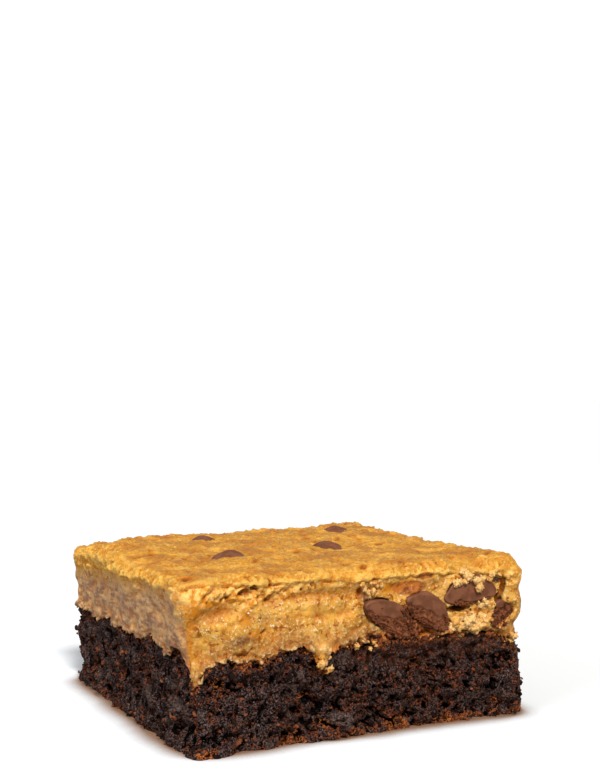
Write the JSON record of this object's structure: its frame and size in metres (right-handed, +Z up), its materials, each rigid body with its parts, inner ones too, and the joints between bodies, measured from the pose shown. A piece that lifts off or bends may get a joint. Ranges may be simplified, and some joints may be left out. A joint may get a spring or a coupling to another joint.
{
  "type": "brownie",
  "caption": "Square-cut brownie bar with a dark fudgy layer below and a golden chocolate chip cookie layer baked on top, with chips showing in its cut faces and crust.",
  "frame": {"origin": "middle of the bar's flat underside, in the plane that it rests on", "axes": "+Z up through the layers; -Y out of the front cut face, which shows the cluster of chips; -X out of the left cut face"},
  "size_m": [0.0706, 0.0687, 0.0308],
  "materials": {
    "brownie": "dark moist crumb, rough with small glossy spots",
    "cookie": "golden crust over soft moist dough",
    "chocolate": "satin dark chocolate"
  },
  "bodies": {
    "root": {"brownie_layer": "brownie", "cookie_layer": "cookie", "chip_front_a": "chocolate", "chip_front_b": "chocolate", "chip_front_c": "chocolate", "chip_front_d": "chocolate", "chip_right_a": "chocolate", "chip_right_b": "chocolate", "chip_back_a": "chocolate", "chip_back_b": "chocolate", "chip_back_c": "chocolate", "chip_top_a": "chocolate", "chip_top_b": "chocolate", "chip_top_c": "chocolate", "chip_top_d": "chocolate"}
  },
  "joints": []
}
